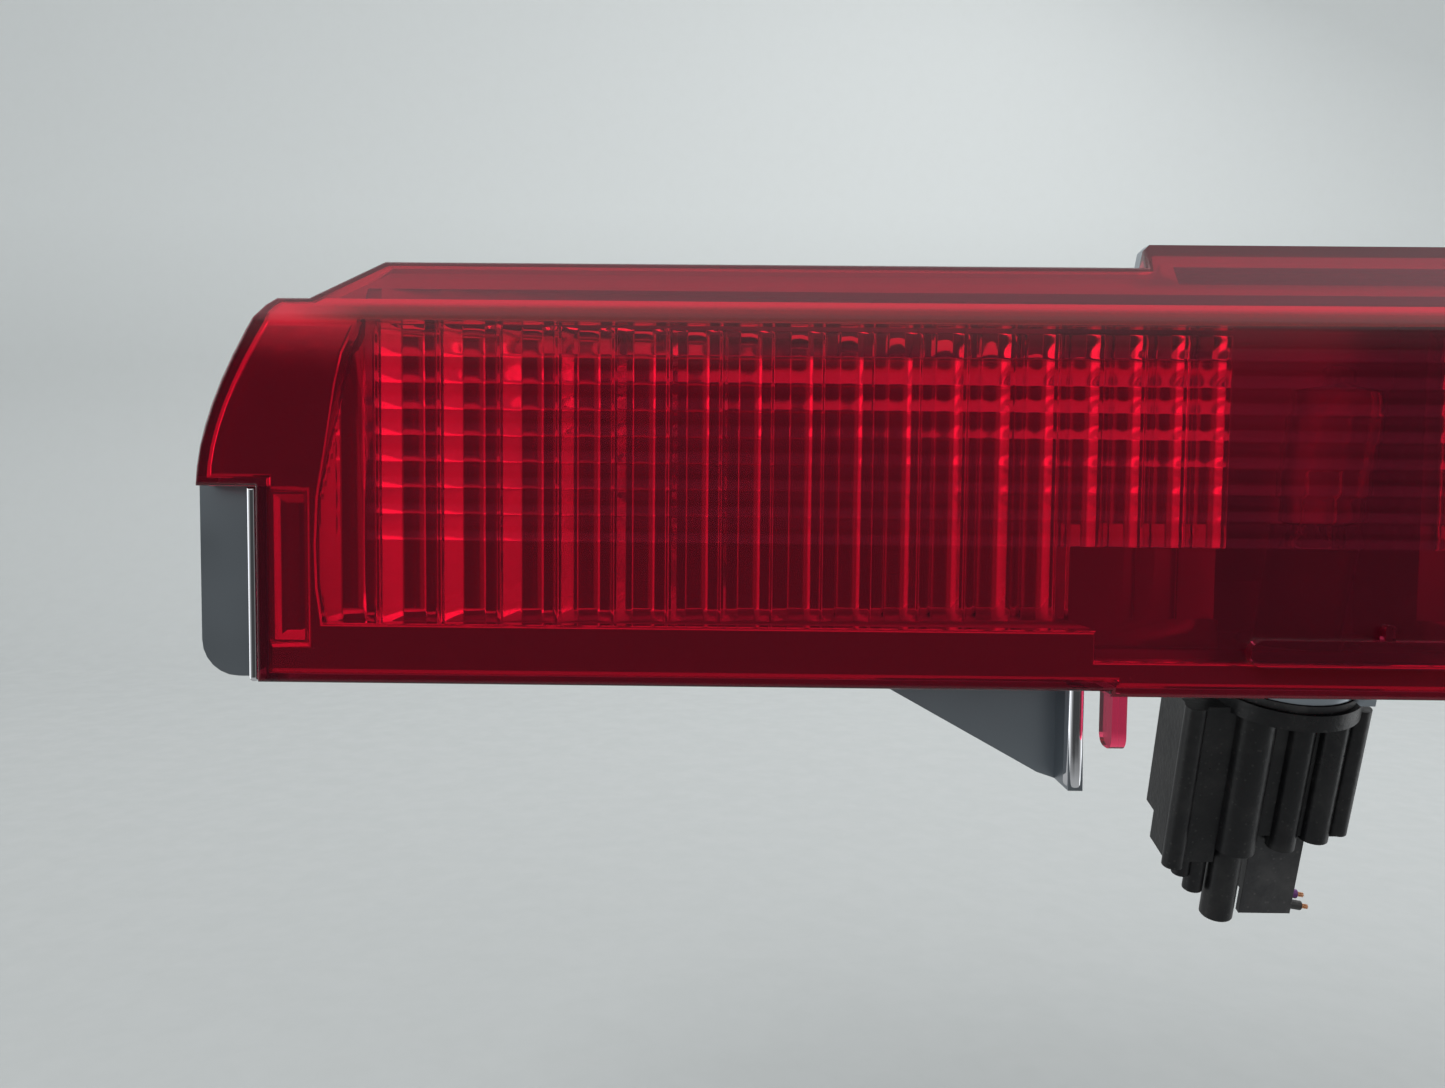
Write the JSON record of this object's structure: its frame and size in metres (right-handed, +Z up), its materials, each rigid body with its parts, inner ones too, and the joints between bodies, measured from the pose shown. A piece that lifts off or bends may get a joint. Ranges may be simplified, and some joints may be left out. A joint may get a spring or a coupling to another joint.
{
  "type": "third brake light",
  "caption": "Long red high-mounted brake light with a mirrored, fluted reflector, a wedge bulb, a pull-out bulb holder with its plug, and rear fixings.",
  "frame": {"origin": "midway between the two threaded inserts, in the plane of the housing's rear rim", "axes": "+X along the lamp to the viewer's right when facing the lens, +Y from the lens into the car, +Z up"},
  "size_m": [0.384, 0.0501, 0.1262],
  "materials": {
    "red_lens": "clear red acrylic, polished",
    "mirror_housing": "plastic with a vacuum-metallised mirror skin",
    "foam": "closed-cell foam strip",
    "insert_brass": "knurled brass",
    "vent_plastic": "moulded",
    "membrane": "white breather film",
    "clip_steel": "zinc-plated spring steel",
    "holder_plastic": "satin black, moulded",
    "seal_rubber": "soft rubber",
    "contact_bronze": "tinned spring bronze",
    "bulb_clear": "clear glass",
    "bulb_wire": "drawn wire",
    "plug_plastic": "satin black, moulded",
    "wire_purple": "extruded insulation",
    "wire_black": "extruded insulation",
    "copper": "bare copper strands"
  },
  "bodies": {
    "housing": {"lens": "red_lens", "reflector_housing": "mirror_housing", "body_gasket": "foam", "threaded_inserts": "insert_brass", "vent_cap": "vent_plastic", "vent_membrane": "membrane"},
    "clip_left": {"mounting_clip_left": "clip_steel"},
    "clip_right": {"mounting_clip_right": "clip_steel"},
    "holder": {"bulb_holder": "holder_plastic", "holder_seal": "seal_rubber", "contact_left": "contact_bronze", "contact_right": "contact_bronze"},
    "bulb": {"bulb_glass": "bulb_clear", "bulb_filament": "bulb_wire", "bulb_supports": "bulb_wire", "bulb_lead_wires": "bulb_wire"},
    "plug": {"plug_housing": "plug_plastic", "terminal_left": "contact_bronze", "terminal_right": "contact_bronze", "wire_seals": "seal_rubber", "purple_wire": "wire_purple", "black_wire": "wire_black", "purple_wire_strands": "copper", "black_wire_strands": "copper"}
  },
  "joints": [
    {"name": "holder_pull", "type": "slide", "parent": "housing", "child": "holder", "axis": [0, 0.2588, -0.9659], "range_m": [0, 0.06]},
    {"name": "bulb_pull", "type": "slide", "parent": "holder", "child": "bulb", "axis": [0, -0.2588, 0.9659], "range_m": [0, 0.0095]},
    {"name": "plug_pull", "type": "slide", "parent": "holder", "child": "plug", "axis": [0, 0.2588, -0.9659], "range_m": [0, 0.016]},
    {"name": "clip_left_flex", "type": "hinge", "parent": "housing", "child": "clip_left", "pos_m": [-0.1095, -0.0013, 0.012], "axis": [0, 0, -1], "range_deg": [0, 6], "stiffness_Nm_per_rad": 0.3},
    {"name": "clip_right_flex", "type": "hinge", "parent": "housing", "child": "clip_right", "pos_m": [0.1095, -0.0013, 0.012], "axis": [0, 0, 1], "range_deg": [0, 6], "stiffness_Nm_per_rad": 0.3}
  ]
}
